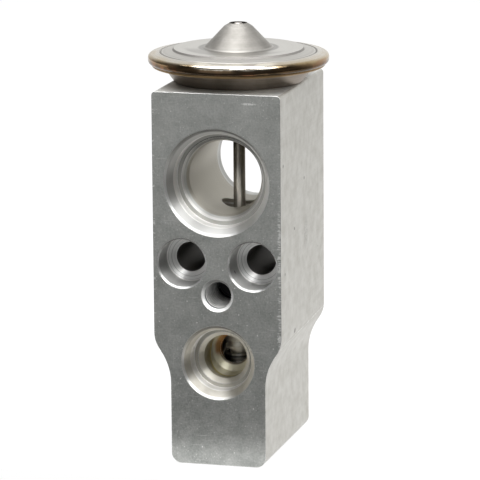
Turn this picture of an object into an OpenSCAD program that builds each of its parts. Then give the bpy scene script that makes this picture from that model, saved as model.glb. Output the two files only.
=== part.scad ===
// Block type thermostatic expansion valve for a vehicle air conditioner
// Millimetres. The block stands on its foot, Z is up and the front face looks to -Y
// The origin is the middle of the foot, on the axis of the head and the rod

/* [Block] */
// Width of the upper part of the block
body_w = 32; // [30:0.5:40]
// Depth of the block from the front face to the back face
body_d = 42; // [40:0.5:56]
// Height of the block
body_h = 91.8; // [90:0.2:110]
// Width of the narrow foot
foot_w = 23.8; // [20:0.2:28]
// Height where the shoulders start to draw in
shoulder_z = 32.4; // [28:0.2:38]
// Radius of the round upper bend of a shoulder
shoulder_bend_r = 7; // [3:0.2:10]
// Radius of the hollow lower bend of a shoulder
shoulder_hollow_r = 14; // [6:0.5:16]
// Slope of a shoulder between its two bends, in degrees from upright
shoulder_slope = 33; // [28:1:40]
// Radius of the two top corners of the profile
top_corner_r = 1; // [0.4:0.1:2]
// Radius of the two bottom corners of the profile
foot_corner_r = 2.5; // [0.6:0.1:4]

/* [Suction passage] */
// Height of the suction passage
suction_z = 70; // [68:0.2:74]
// Radius of the passage bored from the front
suction_r = 9.1; // [7:0.1:9.2]
// Radius of the throat at the front end of the passage
suction_throat_r = 9.5; // [9.3:0.1:9.8]
// Radius of the shorter bore from the back
suction_back_r = 9.6; // [9.4:0.1:9.9]
// Distance from the middle of the block to where the two bores meet
suction_meet_y = 11.8; // [6:0.2:12]
// Radius of both suction mouths at the face
suction_mouth_r = 13.25; // [13:0.05:14]
// Radius of the wall that the pipe seal presses on
suction_seal_r = 11.45; // [11:0.05:12]
// Radius inside the flat ledge of the port
suction_ledge_r = 10.25; // [10.2:0.05:10.8]
// Depth of the flat ledge in the front port
suction_ledge_depth = 5.6; // [4:0.1:6.5]
// Depth of the flat ledge in the back port
suction_back_ledge_depth = 3.2; // [2.6:0.1:4]

/* [Liquid ports] */
// Height of the inlet in the front face
inlet_z = 25.6; // [24:0.2:27]
// Radius of the wide bore in both liquid ports
liquid_bore_r = 5.45; // [4.5:0.05:6]
// Depth of the wide bore in both liquid ports
liquid_bore_depth = 14.2; // [9:0.2:14.4]
// Radius of the hole from the inlet into the valve chamber
inlet_hole_r = 3.6; // [2.5:0.1:4]
// Radius of the hole from the orifice to the outlet
outlet_hole_r = 3; // [2.4:0.1:3.4]
// Radius of both liquid mouths at the face
liquid_mouth_r = 9.25; // [8.8:0.05:9.6]
// Radius of the wall that the pipe seal presses on
liquid_seal_r = 7.55; // [7.2:0.05:8]
// Radius inside the flat ledge of the port
liquid_ledge_r = 6.5; // [6.2:0.05:7]
// Depth of the flat ledge in both liquid ports
liquid_ledge_depth = 5.5; // [4:0.1:6.5]

/* [Fastening holes] */
// Height of the two bolt holes
bolt_z = 49.9; // [49:0.1:52]
// Distance between the two bolt holes
bolt_spacing = 17.7; // [17:0.1:19]
// Radius of the bolt holes
bolt_r = 3.7; // [2.6:0.1:3.8]
// Radius of the sunk seat for the bolt heads
bolt_seat_r = 5.9; // [5:0.05:5.95]
// Depth of the sunk seat for the bolt heads
bolt_seat_depth = 7.3; // [4:0.1:10]
// Extra depth of the sloping floor of the seat at the bolt hole
bolt_floor_drop = 1.1; // [0:0.1:1.4]
// Height of the threaded hole
stud_z = 42.3; // [41.8:0.1:42.6]
// Core radius of the threaded hole
stud_r = 3.35; // [2.5:0.05:3.4]
// Depth of the threaded hole
stud_depth = 14; // [8:0.5:14]

/* [Valve chamber] */
// Radius of the chamber bored from below
chamber_r = 5.6; // [5.4:0.1:5.8]
// Height of the chamber's straight wall
chamber_top_z = 31; // [30.4:0.1:32]
// Radius of the orifice
orifice_r = 2; // [1.6:0.05:2.3]
// Length of the orifice up to the outlet bore
orifice_l = 1.8; // [1.2:0.1:2.4]
// Radius of the ball
ball_r = 3; // [2.8:0.05:3.2]

/* [Rod] */
// Radius of the rod
rod_r = 1.475; // [1.3:0.025:1.6]
// Radius of the thin pin below the rod
pin_r = 1.15; // [0.9:0.05:1.25]
// Running clearance between the rod and its guide
rod_gap = 0.05; // [0.02:0.01:0.09]
// Radius of the seal pocket in the floor of the suction passage
pocket_r = 4.4; // [3.8:0.1:4.5]
// Depth of the seal pocket below the passage
pocket_depth = 6.8; // [5.8:0.1:7.4]
// Height of the rod's upper end above the block
rod_top_drop = 1.8; // [1:0.1:3]

/* [Spring and adjusting screw] */
// Radius of the ball carrier
carrier_r = 4; // [3.8:0.05:4.2]
// Height of the spring's seat under the ball carrier
carrier_z = 25; // [24.6:0.1:25.4]
// Radius of the spring wire
wire_r = 0.6; // [0.4:0.05:0.7]
// Radius of the spring at the middle of its wire
spring_r = 3.5; // [3.4:0.05:3.6]
// Number of turns of the spring
spring_turns = 6.5; // [5:0.5:8]
// Radius of the adjusting screw
screw_r = 6; // [6:0.05:6.4]
// Pitch of the adjusting screw's thread
screw_pitch = 1; // [0.5:0.25:1]
// Height of the screw's lower face above the foot
screw_recess = 1.4; // [1.2:0.1:2]
// Length of the screw's threaded part
screw_thread_l = 6; // [5:0.2:6.4]
// Length of the whole adjusting screw
screw_l = 12.4; // [11:0.2:13]
// Width across the flats of the hexagon socket
socket_af = 6; // [4:0.5:7]
// Depth of the hexagon socket
socket_depth = 4; // [2:0.2:5]

/* [Head] */
// Distance that the rim reaches past the block's front and back faces
rim_overhang = 1.1; // [0.2:0.1:2]
// Height of the rounded rim
rim_h = 2.5; // [2.2:0.1:3]
// Rounding of the rim's edges
rim_round = 0.95; // [0.5:0.05:1.1]
// Distance of the lower cover's edge inside the rim
flange_inset = 0.9; // [0.6:0.05:1.2]
// Thickness of the lower cover's flange
flange_t = 0.9; // [0.6:0.05:1.2]
// Height of the lower cover's flange above the block
flange_lift = 3.7; // [3.2:0.1:5]
// Distance inside the rim where the cone of the lower cover meets its flange
dish_inset = 3.7; // [3.4:0.1:4.4]
// Distance that the cone of the lower cover draws in down to the block
dish_taper = 2.5; // [1:0.1:2.8]
// Thickness of the lower cover's floor
dish_t = 1.3; // [1:0.05:1.5]
// Radius of the lower cover's threaded neck
neck_r = 12; // [11.5:0.1:12.4]
// Wall of the threaded neck
neck_wall = 1.4; // [1.2:0.05:1.8]
// Length of the threaded neck
neck_l = 7.5; // [5:0.1:7.6]
// Thickness of the diaphragm
diaphragm_t = 0.2; // [0.15:0.05:0.3]
// Thickness of the upper cover
cover_t = 1; // [0.8:0.05:1.2]
// Distance of the fine groove inside the rim
groove_inset = 3.05; // [2.8:0.05:3.4]
// Distance inside the rim of the raised middle of the upper cover
platform_inset = 6.3; // [5.6:0.1:8]
// Height of the raised middle above the rim
platform_lift = 1.25; // [0.8:0.05:1.6]
// Radius of the dome at its base
dome_r = 8.1; // [7.5:0.1:9]
// Radius of the dome at its shoulder
dome_top_r = 3.9; // [3.6:0.1:4.4]
// Height of the dome above the raised middle
dome_h = 6.05; // [4.5:0.05:7]
// Radius of the sunk filling hole in the top of the dome
filling_r = 1.85; // [1.6:0.05:2]
// Depth of the sunk filling hole
filling_depth = 0.8; // [0.4:0.05:1]
// Radius of the charge plug
plug_r = 1.1; // [0.8:0.05:1.3]
// Width of the gap between the diaphragm stop and the diaphragm's ripple
stop_inset = 1.1; // [0.6:0.1:4]
// Radius of the stem under the diaphragm stop
stop_stem_r = 4.2; // [3:0.1:5]

/* [Hidden] */
$fn = 96;
arc_steps = 12;
cut = 1;
fit_gap = 0.05;
lip_break = 0.1;
dome_foot_h = 0.35;
dome_foot_w = 0.6;
platform_foot_h = 0.45;
inner_step_w = 0.4;
dome_wall_w = 0.9;
loose_gap = 0.1;
drill_angle = 59;
edge_break = 0.4;

// Shoulder of the block, two bends with a straight slope between them
shoulder_in = (body_w - foot_w) / 2;
shoulder_sum_r = shoulder_bend_r + shoulder_hollow_r;
shoulder_run = (shoulder_in - shoulder_sum_r * (1 - cos(shoulder_slope))) / sin(shoulder_slope);
shoulder_drop = shoulder_sum_r * sin(shoulder_slope) + shoulder_run * cos(shoulder_slope);
shoulder_low_z = shoulder_z - shoulder_drop;

// Ports
port_chamfer = 0.5;
port_lead = 3.2;
port_back_lead = 1.9;
ledge_cone_l = 1.4;
ledge_cone_short_l = 0.7;
throat_l = 1.2;

// Valve seat, ball and carrier along the axis
seat_z = chamber_top_z + (chamber_r - orifice_r) / tan(drill_angle);
outlet_z = seat_z + orifice_l + outlet_hole_r;
outlet_end_y = -2.2;
ball_seat_rise = sqrt(ball_r * ball_r - orifice_r * orifice_r);
ball_z = seat_z - ball_seat_rise - fit_gap;
ball_cup_depth = 1.4;
carrier_top_z = ball_z - ball_r + ball_cup_depth;
carrier_stem_r = spring_r - wire_r - 0.3;
carrier_stem_l = 4.5;
carrier_ring_h = 0.6;
carrier_waist_r = carrier_r - 0.4;
damper_h = 1.2;
damper_t = 0.25;
damper_leg_l = 2.4;
damper_leg_angle = 40;

// Rod, its guide and its seal
guide_r = rod_r + rod_gap;
pocket_z = suction_z - suction_r - pocket_depth;
rod_step_z = outlet_z + outlet_hole_r + 1.2;
rod_bottom_z = ball_z + ball_r;
rod_top_z = body_h - rod_top_drop;
rod_chamfer = 0.3;
seal_section_r = (pocket_r - rod_r) / 2 - fit_gap;
seal_centre_r = (pocket_r + rod_r) / 2;
seal_washer_t = 0.8;
washer_z = pocket_z + 2 * seal_section_r + 2 * fit_gap;
retainer_z = washer_z + seal_washer_t + fit_gap;
retainer_t = 0.4;
retainer_dish = 0.5;
retainer_teeth = 6;
retainer_slot_w = 0.7;

// Adjusting screw
screw_bore_r = screw_r + fit_gap;
screw_travel = screw_pitch;
screw_bore_top_z = screw_recess + screw_thread_l + screw_travel + 0.4;
screw_nose_r = chamber_r - loose_gap;
screw_groove_z = screw_recess + screw_thread_l + 1.7;
screw_groove_h = 2;
screw_groove_r = 3.9;
screw_top_z = screw_recess + screw_l;
screw_cup_depth = 2;
screw_cup_r = spring_r + wire_r + 0.2;
spring_low_z = screw_top_z - screw_cup_depth;
screw_seal_section_r = (chamber_r - screw_groove_r) / 2 - fit_gap;
screw_seal_centre_r = (chamber_r + screw_groove_r) / 2;

// Head, radii counted inwards from the rim and heights from the top of the block
rim_r = body_d / 2 + rim_overhang;
flange_r = rim_r - flange_inset;
groove_r = rim_r - groove_inset;
dish_top_r = rim_r - dish_inset;
dish_r = dish_top_r - dish_taper;
platform_r = rim_r - platform_inset;
flange_z = body_h + flange_lift;
flange_top_z = flange_z + flange_t;
cover_base_z = flange_top_z + diaphragm_t;
rim_low_z = flange_top_z - 0.3;
rim_top_z = rim_low_z + rim_h;
plate_z = rim_top_z + 0.35;
platform_z = rim_top_z + platform_lift;
dome_top_z = platform_z + dome_h;
dome_lip_r = 2.3;
dome_lip_drop = 0.75;
dome_round = 0.5;
platform_slope_r = 0.35;
groove_depth = 0.3;
groove_half_w = 0.25;
neck_bore_r = neck_r + fit_gap;
neck_bore_low_z = body_h - neck_l - 0.3;
roof_r = stop_stem_r + 0.4;
head_gland_r = neck_r + 2.2;
head_gland_depth = 2;
head_seal_section_r = head_gland_depth / 2 - fit_gap;
head_seal_centre_r = (neck_r + head_gland_r) / 2;
plug_stem_r = plug_r - 0.35;
plug_stem_l = 1.3;
plug_round = 0.25;
ripple_w = 1.2;
ripple_h = 0.35;
ripple_r = platform_r - 2.7 * ripple_w;
stop_r = ripple_r - stop_inset;
stop_t = 1.5;
stop_top_z = flange_top_z - fit_gap;
stop_stem_low_z = rod_top_z - 3.5;

// Points of an arc in the plane of a profile
function arc(x, y, r, a0, a1, n = arc_steps) =
    [for (i = [0:n]) let (a = a0 + (a1 - a0) * i / n) [x + r * cos(a), y + r * sin(a)]];

// Right half of the block's front view, from the foot to the top
function block_half() = concat(
    arc(foot_w / 2 - foot_corner_r, foot_corner_r, foot_corner_r, -90, 0),
    arc(foot_w / 2 + shoulder_hollow_r, shoulder_low_z, shoulder_hollow_r, 180, 180 - shoulder_slope),
    arc(body_w / 2 - shoulder_bend_r, shoulder_z, shoulder_bend_r, -shoulder_slope, 0),
    arc(body_w / 2 - top_corner_r, body_h - top_corner_r, top_corner_r, 0, 90)
);

// The same points on the left, from the top to the foot
function mirrored(points) = [for (i = [len(points) - 1:-1:0]) [-points[i][0], points[i][1]]];

// Solid turned about the Z axis from points of radius and height
module turned(points) {
    rotate_extrude() polygon(points);
}

// Points of a port's mouth, with depth counted into the block from the face
function mouth(mouth_r, seal_r, lead, ledge_depth, ledge_r) = [
    [0, -cut],
    [mouth_r + cut, -cut],
    [mouth_r - port_chamfer, port_chamfer],
    [seal_r, lead],
    [seal_r, ledge_depth],
    [ledge_r, ledge_depth]
];

// Points of the bore behind a port's ledge, with a cone at both ends
function bore(start, cone_l, r, depth) = [
    [r, start + cone_l],
    [r, depth],
    [0, depth + r / tan(drill_angle)]
];

// Port for a liquid pipe
module liquid_cut() {
    turned(concat(
        mouth(liquid_mouth_r, liquid_seal_r, port_lead, liquid_ledge_depth, liquid_ledge_r),
        bore(liquid_ledge_depth, ledge_cone_l, liquid_bore_r, liquid_bore_depth)
    ));
}

// Front port and passage for the suction pipe
module suction_front_cut() {
    throat_depth = suction_ledge_depth + ledge_cone_l;
    turned(concat(
        mouth(suction_mouth_r, suction_seal_r, port_lead, suction_ledge_depth, suction_ledge_r),
        [[suction_throat_r, throat_depth]],
        bore(throat_depth, throat_l, suction_r, body_d / 2 + suction_meet_y)
    ));
}

// Back port of the suction passage
module suction_back_cut() {
    turned(concat(
        mouth(suction_mouth_r, suction_seal_r, port_back_lead, suction_back_ledge_depth, suction_ledge_r),
        bore(suction_back_ledge_depth, ledge_cone_short_l, suction_back_r, body_d / 2 - suction_meet_y)
    ));
}

// Places a cut at height z, with its depth running in from the front face
module from_front(x, z) {
    translate([x, -body_d / 2, z]) rotate([-90, 0, 0]) children();
}

// Places a cut at height z, with its depth running in from the back face
module from_back(x, z) {
    translate([x, body_d / 2, z]) rotate([90, 0, 0]) children();
}

// Stepped bore on the axis, from the adjusting screw up to the head
module core_cut() {
    turned([
        [0, -cut],
        [screw_bore_r + edge_break + cut, -cut],
        [screw_bore_r, edge_break],
        [screw_bore_r, screw_bore_top_z],
        [chamber_r, screw_bore_top_z + screw_bore_r - chamber_r],
        [chamber_r, chamber_top_z],
        [orifice_r, seat_z],
        [orifice_r, outlet_z],
        [guide_r, outlet_z],
        [guide_r, pocket_z],
        [pocket_r, pocket_z],
        [pocket_r, suction_z],
        [roof_r, suction_z],
        [roof_r, neck_bore_low_z],
        [neck_bore_r, neck_bore_low_z],
        [neck_bore_r, body_h - head_gland_depth],
        [head_gland_r, body_h - head_gland_depth],
        [head_gland_r, body_h + cut],
        [0, body_h + cut]
    ]);
}

// Sunk bolt hole, with depth counted from the front face
module bolt_cut() {
    turned([
        [0, -cut],
        [bolt_seat_r + edge_break + cut, -cut],
        [bolt_seat_r, edge_break],
        [bolt_seat_r, bolt_seat_depth],
        [bolt_r, bolt_seat_depth + bolt_floor_drop],
        [bolt_r, body_d + cut],
        [0, body_d + cut]
    ]);
}

// Core of the threaded hole, with depth counted from the front face
module stud_cut() {
    turned([
        [0, -cut],
        [stud_r + 0.7 + cut, -cut],
        [stud_r, 0.7],
        [stud_r, stud_depth],
        [0, stud_depth + stud_r / tan(drill_angle)]
    ]);
}

// Extruded block with all of its ports and bores
module valve_body() {
    color([0.66, 0.66, 0.65])
    difference() {
        translate([0, body_d / 2, 0]) rotate([90, 0, 0]) linear_extrude(body_d)
            polygon(concat(block_half(), mirrored(block_half())));
        from_front(0, suction_z) suction_front_cut();
        from_back(0, suction_z) suction_back_cut();
        from_front(0, inlet_z) liquid_cut();
        from_front(0, inlet_z) cylinder(h = body_d / 2, r = inlet_hole_r);
        from_back(0, outlet_z) liquid_cut();
        from_back(0, outlet_z) cylinder(h = body_d / 2 - outlet_end_y, r = outlet_hole_r);
        for (side = [-1, 1])
            from_front(side * bolt_spacing / 2, bolt_z) bolt_cut();
        from_front(0, stud_z) stud_cut();
        core_cut();
    }
}

// Pressed upper cover with its dome and the welded rim
module upper_cover() {
    rim_x = rim_r - rim_round;
    inner_z = platform_z - cover_t;
    hole_r = plug_stem_r + fit_gap;
    floor_z = dome_top_z - filling_depth;
    dome_low_z = dome_top_z - dome_lip_drop;
    color([0.74, 0.72, 0.68])
    turned(concat(
        [[hole_r, floor_z - cover_t], [hole_r, floor_z]],
        [[filling_r, floor_z], [filling_r, dome_top_z - lip_break]],
        [[filling_r + lip_break, dome_top_z], [dome_lip_r - lip_break, dome_top_z]],
        [[dome_lip_r, dome_top_z - lip_break]],
        [[dome_top_r - dome_round, dome_low_z], [dome_top_r, dome_low_z - dome_round]],
        [[dome_r, platform_z + dome_foot_h], [dome_r + dome_foot_w, platform_z], [platform_r, platform_z]],
        [[platform_r + platform_slope_r, plate_z + platform_foot_h], [groove_r - groove_half_w, plate_z]],
        [[groove_r, plate_z - groove_depth], [groove_r + groove_half_w, plate_z]],
        arc(rim_x, rim_top_z - rim_round, rim_round, 90, 0),
        arc(rim_x, rim_low_z + rim_round, rim_round, 0, -80),
        [[flange_r, rim_low_z], [flange_r, cover_base_z], [dish_top_r, cover_base_z]],
        [[platform_r + inner_step_w, inner_z], [dome_r - lip_break, inner_z]],
        [[dome_top_r - dome_wall_w, floor_z - cover_t]]
    ));
}

// Plug welded into the filling hole of the dome
module charge_plug() {
    floor_z = dome_top_z - filling_depth;
    color([0.55, 0.53, 0.5])
    turned([
        [0, floor_z - plug_stem_l],
        [plug_stem_r, floor_z - plug_stem_l],
        [plug_stem_r, floor_z],
        [plug_r, floor_z],
        [plug_r, dome_top_z - plug_round],
        [plug_r - plug_round, dome_top_z],
        [0, dome_top_z]
    ]);
}

// Thin diaphragm with one ring shaped ripple
module diaphragm() {
    low = flange_top_z;
    high = flange_top_z + diaphragm_t;
    color([0.8, 0.8, 0.8])
    turned([
        [0, low],
        [ripple_r, low],
        [ripple_r + ripple_w, low + ripple_h],
        [ripple_r + 2 * ripple_w, low],
        [flange_r - fit_gap, low],
        [flange_r - fit_gap, high],
        [ripple_r + 2 * ripple_w, high],
        [ripple_r + ripple_w, high + ripple_h],
        [ripple_r, high],
        [0, high]
    ]);
}

// Lower cover, a dish with a flange above and a threaded neck below
module lower_cover() {
    neck_low_z = body_h - neck_l;
    color([0.42, 0.4, 0.38])
    turned([
        [neck_r - neck_wall, neck_low_z],
        [neck_r - edge_break, neck_low_z],
        [neck_r, neck_low_z + edge_break],
        [neck_r, body_h],
        [dish_r - 0.2, body_h],
        [dish_r, body_h + 0.2],
        [dish_top_r - 0.4, flange_z - 0.6],
        [dish_top_r + 0.3, flange_z],
        [flange_r - 0.2, flange_z],
        [flange_r, flange_z + 0.2],
        [flange_r, flange_top_z],
        [dish_top_r - 0.3, flange_top_z],
        [dish_r - 0.6, body_h + dish_t],
        [neck_r - neck_wall, body_h + dish_t]
    ]);
}

// Ring seal between the head and the block
module head_seal() {
    color([0.1, 0.1, 0.1])
    translate([0, 0, body_h - head_gland_depth / 2])
    rotate_extrude() translate([head_seal_centre_r, 0]) circle(r = head_seal_section_r);
}

// Disc that carries the diaphragm, with a socket for the rod in its stem
module diaphragm_stop() {
    color([0.76, 0.66, 0.4])
    turned([
        [rod_r + 0.02, stop_stem_low_z],
        [stop_stem_r - edge_break, stop_stem_low_z],
        [stop_stem_r, stop_stem_low_z + edge_break],
        [stop_stem_r, stop_top_z - stop_t],
        [stop_r - 0.3, stop_top_z - stop_t],
        [stop_r, stop_top_z - stop_t + 0.3],
        [stop_r, stop_top_z - 0.3],
        [stop_r - 0.3, stop_top_z],
        [0, stop_top_z],
        [0, rod_top_z],
        [rod_r + 0.02, rod_top_z]
    ]);
}

// Rod from the diaphragm stop down to the ball
module operating_rod() {
    color([0.45, 0.42, 0.4])
    turned([
        [0, rod_bottom_z],
        [pin_r - rod_chamfer, rod_bottom_z],
        [pin_r, rod_bottom_z + rod_chamfer],
        [pin_r, rod_step_z - (rod_r - pin_r)],
        [rod_r, rod_step_z],
        [rod_r, rod_top_z - rod_chamfer],
        [rod_r - rod_chamfer, rod_top_z],
        [0, rod_top_z]
    ]);
}

// Ring seal round the rod
module rod_seal() {
    color([0.1, 0.1, 0.1])
    translate([0, 0, pocket_z + seal_section_r + fit_gap])
    rotate_extrude() translate([seal_centre_r, 0]) circle(r = seal_section_r);
}

// Flat washer over the rod's seal
module seal_washer() {
    color([0.92, 0.92, 0.9])
    translate([0, 0, washer_z]) difference() {
        cylinder(h = seal_washer_t, r = pocket_r - loose_gap);
        translate([0, 0, -cut]) cylinder(h = seal_washer_t + 2 * cut, r = rod_r + loose_gap);
    }
}

// Dished push nut that holds the seal in its pocket
module seal_retainer() {
    outer_r = pocket_r - fit_gap;
    inner_r = rod_r + 0.4;
    color([0.6, 0.58, 0.55])
    difference() {
        turned([
            [inner_r, retainer_z],
            [outer_r - 0.8, retainer_z],
            [outer_r, retainer_z + retainer_dish],
            [outer_r, retainer_z + retainer_dish + retainer_t],
            [outer_r - 1, retainer_z + retainer_t],
            [inner_r, retainer_z + retainer_t]
        ]);
        for (i = [0:retainer_teeth - 1])
            rotate([0, 0, (i + 0.5) * 360 / retainer_teeth])
            translate([outer_r - 1.1, -retainer_slot_w / 2, retainer_z - cut])
                cube([2, retainer_slot_w, 3 * cut]);
    }
}

// Ball that closes the orifice
module valve_ball() {
    color([0.75, 0.75, 0.76])
    translate([0, 0, ball_z]) sphere(r = ball_r);
}

// Carrier with a cup for the ball, a waist for the damper and a stem for the spring
module ball_carrier() {
    waist_z = carrier_z + carrier_ring_h;
    color([0.7, 0.7, 0.68])
    difference() {
        turned([
            [0, carrier_z - carrier_stem_l],
            [carrier_stem_r - edge_break, carrier_z - carrier_stem_l],
            [carrier_stem_r, carrier_z - carrier_stem_l + edge_break],
            [carrier_stem_r, carrier_z],
            [carrier_r, carrier_z],
            [carrier_r, waist_z],
            [carrier_waist_r, waist_z],
            [carrier_waist_r, waist_z + damper_h + 2 * fit_gap],
            [carrier_r, waist_z + damper_h + 2 * fit_gap],
            [carrier_r, carrier_top_z - edge_break],
            [carrier_r - edge_break, carrier_top_z],
            [0, carrier_top_z]
        ]);
        translate([0, 0, ball_z]) sphere(r = ball_r + 0.01);
    }
}

// Spring band round the carrier, with three legs that rub on the chamber wall
module damper_spring() {
    low = carrier_z + carrier_ring_h + fit_gap;
    band_in = carrier_waist_r + fit_gap;
    band_out = band_in + damper_t;
    leg_out = chamber_r - 0.2;
    color([0.62, 0.6, 0.56])
    union() {
        turned([[band_in, low], [band_out, low], [band_out, low + damper_h], [band_in, low + damper_h]]);
        for (i = [0:2])
            rotate([0, 0, 90 - damper_leg_angle / 2 + i * 120])
            rotate_extrude(angle = damper_leg_angle) polygon([
                [band_out - 0.1, low + damper_h - 0.1],
                [band_out - 0.1, low + damper_h - 0.1 - damper_t],
                [leg_out - damper_t, low - damper_leg_l + 0.4],
                [leg_out - damper_t, low - damper_leg_l],
                [leg_out, low - damper_leg_l],
                [leg_out, low - damper_leg_l + 0.6]
            ]);
    }
}

// Height of the spring wire's middle after t turns, with one closed turn at each end
function coil_z(t, turns, low, high, r) =
    let (closed = 2.05 * r, free = (high - low - 2 * r - 2 * closed) / (turns - 2))
    low + r + (t < 1 ? t * closed
        : t > turns - 1 ? closed + (turns - 2) * free + (t - turns + 1) * closed
        : closed + (t - 1) * free);

// Helical spring with round wire
module coil_spring(mean_r, r, turns, low, high, sides, steps) {
    rings = floor(turns * steps);
    points = [
        for (i = [0:rings], j = [0:sides - 1])
        let (t = i / steps, a = 360 * t, b = 360 * j / sides)
        [
            (mean_r + r * cos(b)) * cos(a),
            (mean_r + r * cos(b)) * sin(a),
            coil_z(t, turns, low, high, r) + r * sin(b)
        ]
    ];
    walls = [
        for (i = [0:rings - 1], j = [0:sides - 1])
        let (k = (j + 1) % sides)
        [i * sides + j, i * sides + k, (i + 1) * sides + k, (i + 1) * sides + j]
    ];
    ends = [
        [for (j = [sides - 1:-1:0]) j],
        [for (j = [0:sides - 1]) rings * sides + j]
    ];
    polyhedron(points = points, faces = concat(walls, ends), convexity = 8);
}

// Spring that presses the carrier and its ball up to the seat
module superheat_spring() {
    color([0.6, 0.6, 0.62])
    coil_spring(spring_r, wire_r, spring_turns, spring_low_z + fit_gap, carrier_z - fit_gap, 10, 20);
}

// Adjusting screw with a hexagon socket below and a cup for the spring above
module adjusting_screw() {
    thread_top_z = screw_recess + screw_thread_l;
    color([0.72, 0.62, 0.38])
    difference() {
        turned([
            [0, screw_recess],
            [screw_r - edge_break, screw_recess],
            [screw_r, screw_recess + edge_break],
            [screw_r, thread_top_z - edge_break],
            [screw_r - edge_break, thread_top_z],
            [screw_nose_r, thread_top_z],
            [screw_nose_r, screw_groove_z],
            [screw_groove_r, screw_groove_z],
            [screw_groove_r, screw_groove_z + screw_groove_h],
            [screw_nose_r, screw_groove_z + screw_groove_h],
            [screw_nose_r, screw_top_z - edge_break],
            [screw_nose_r - edge_break, screw_top_z],
            [0, screw_top_z]
        ]);
        translate([0, 0, screw_recess - cut])
            cylinder(h = socket_depth + cut, r = socket_af / sqrt(3), $fn = 6);
        translate([0, 0, spring_low_z])
            cylinder(h = screw_cup_depth + cut, r = screw_cup_r);
    }
}

// Ring seal in the groove of the adjusting screw
module screw_seal() {
    color([0.1, 0.1, 0.1])
    translate([0, 0, screw_groove_z + screw_groove_h / 2])
    rotate_extrude() translate([screw_seal_centre_r, 0]) circle(r = screw_seal_section_r);
}

valve_body();
upper_cover();
charge_plug();
diaphragm();
lower_cover();
head_seal();
diaphragm_stop();
operating_rod();
rod_seal();
seal_washer();
seal_retainer();
valve_ball();
ball_carrier();
damper_spring();
superheat_spring();
adjusting_screw();
screw_seal();
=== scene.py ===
import math
import bmesh
import bpy
from mathutils import Matrix, Vector


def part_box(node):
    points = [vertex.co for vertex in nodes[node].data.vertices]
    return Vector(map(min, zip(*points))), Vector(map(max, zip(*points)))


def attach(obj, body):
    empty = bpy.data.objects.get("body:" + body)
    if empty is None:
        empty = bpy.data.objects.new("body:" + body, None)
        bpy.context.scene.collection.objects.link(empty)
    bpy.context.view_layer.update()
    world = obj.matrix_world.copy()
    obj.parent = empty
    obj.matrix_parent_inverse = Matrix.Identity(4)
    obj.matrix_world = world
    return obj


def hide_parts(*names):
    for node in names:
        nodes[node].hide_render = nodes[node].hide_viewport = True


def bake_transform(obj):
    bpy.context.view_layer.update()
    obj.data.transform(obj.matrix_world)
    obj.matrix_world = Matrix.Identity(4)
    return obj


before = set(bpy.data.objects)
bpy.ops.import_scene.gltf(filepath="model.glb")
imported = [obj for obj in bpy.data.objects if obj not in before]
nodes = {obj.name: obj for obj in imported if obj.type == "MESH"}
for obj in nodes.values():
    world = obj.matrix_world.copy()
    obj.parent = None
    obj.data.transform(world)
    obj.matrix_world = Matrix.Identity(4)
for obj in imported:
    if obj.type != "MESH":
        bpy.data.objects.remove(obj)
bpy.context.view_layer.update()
scene = bpy.context.scene
scene.view_settings.view_transform = "Standard"

# Places that the looks refer to, in millimetres of the part's own frame
SUCTION_Z = 70.0
SUCTION_R = 13.3
INLET_Z = 25.6
OUTLET_Z = 37.96
LIQUID_R = 9.3
BOLT_X = 8.85
BOLT_Z = 49.9
BOLT_R = 6.3
STUD_Z = 42.3
STUD_R = 4.1
STUD_CORE_R = 3.35
PORT_MARGIN = 0.02
BLOCK_HALF_DEPTH = 21.0
FRONT_Y = -BLOCK_HALF_DEPTH
BLOCK_TOP_Z = 91.8
RIM_R = 19.6
PLATFORM_Z = 98.0
DOME_R = 8.6

# How far behind its face a port changes, in millimetres
SUCTION_SEAT = 7.0
BOLT_SEAT = 8.2
LIQUID_SEAT = 6.6
LIQUID_DRILL = 15.1

# Thread of the clamp hole in millimetres, and a millimetre in metres
THREAD_START = 1.2
THREAD_PITCH = 1.25
THREAD_DEPTH = 12.0
THREAD_HEIGHT = 0.18
MM = 0.001

# Colours that come up more than once
# White of the painted highlights in the ports
HIGHLIGHT_WHITE = (1.0, 1.0, 0.99)
DEEP_SHADE = (0.16, 0.15, 0.14)

# Table top: how far it reaches in metres, and how much of its own glow the camera gets
FLOOR_LEFT = -0.8
FLOOR_RIGHT = 0.22
FLOOR_FRONT = -0.036
FLOOR_BACK = 1.2
FLOOR_DROP = 0.0002
FLOOR_GLOW = 1.08
FLOOR_GLOW_SHARE = 0.86

# What all lamps point at, in metres
LAMP_TARGET = (0.0, 0.0, 0.06)

# Room: where it is white, its level from front to back, and the share of blue in it
ROOM_WHITE_SIDE = (0.12, 0.96, 0.22)
ROOM_LIGHT = ((0.0, 0.17), (0.3, 0.14), (0.6, 0.14), (0.78, 0.6), (1.0, 1.0))
ROOM_BLUE = 0.985

# Camera as fitted to the photograph, angles in degrees and lengths in millimetres
CAMERA_AZIMUTH = 15.493
CAMERA_ELEVATION = 11.974
CAMERA_ROLL = -0.4576
CAMERA_SHIFT_X = 0.4005
CAMERA_SHIFT_Y = -50.6675
CAMERA_DISTANCE = 934.5
FOCAL_PIXELS = 3749.37
IMAGE_PIXELS = 480
SENSOR_MM = 36.0

# Fixed direction of the part's own frame, along which the painted highlights and reflections on the rim and
# the rod are placed
PAINTED_LIGHT_X = math.cos(math.radians(CAMERA_AZIMUTH))
PAINTED_LIGHT_Y = math.sin(math.radians(CAMERA_AZIMUTH))


def fill_ramp(node, stops):
    """Sets the stops of a colour ramp, each a place and a colour."""
    elements = node.color_ramp.elements
    while len(elements) < len(stops):
        elements.new(0.5)
    for element, (place, colour) in zip(elements, stops):
        element.position = place
        element.color = (*colour, 1.0)


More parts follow.
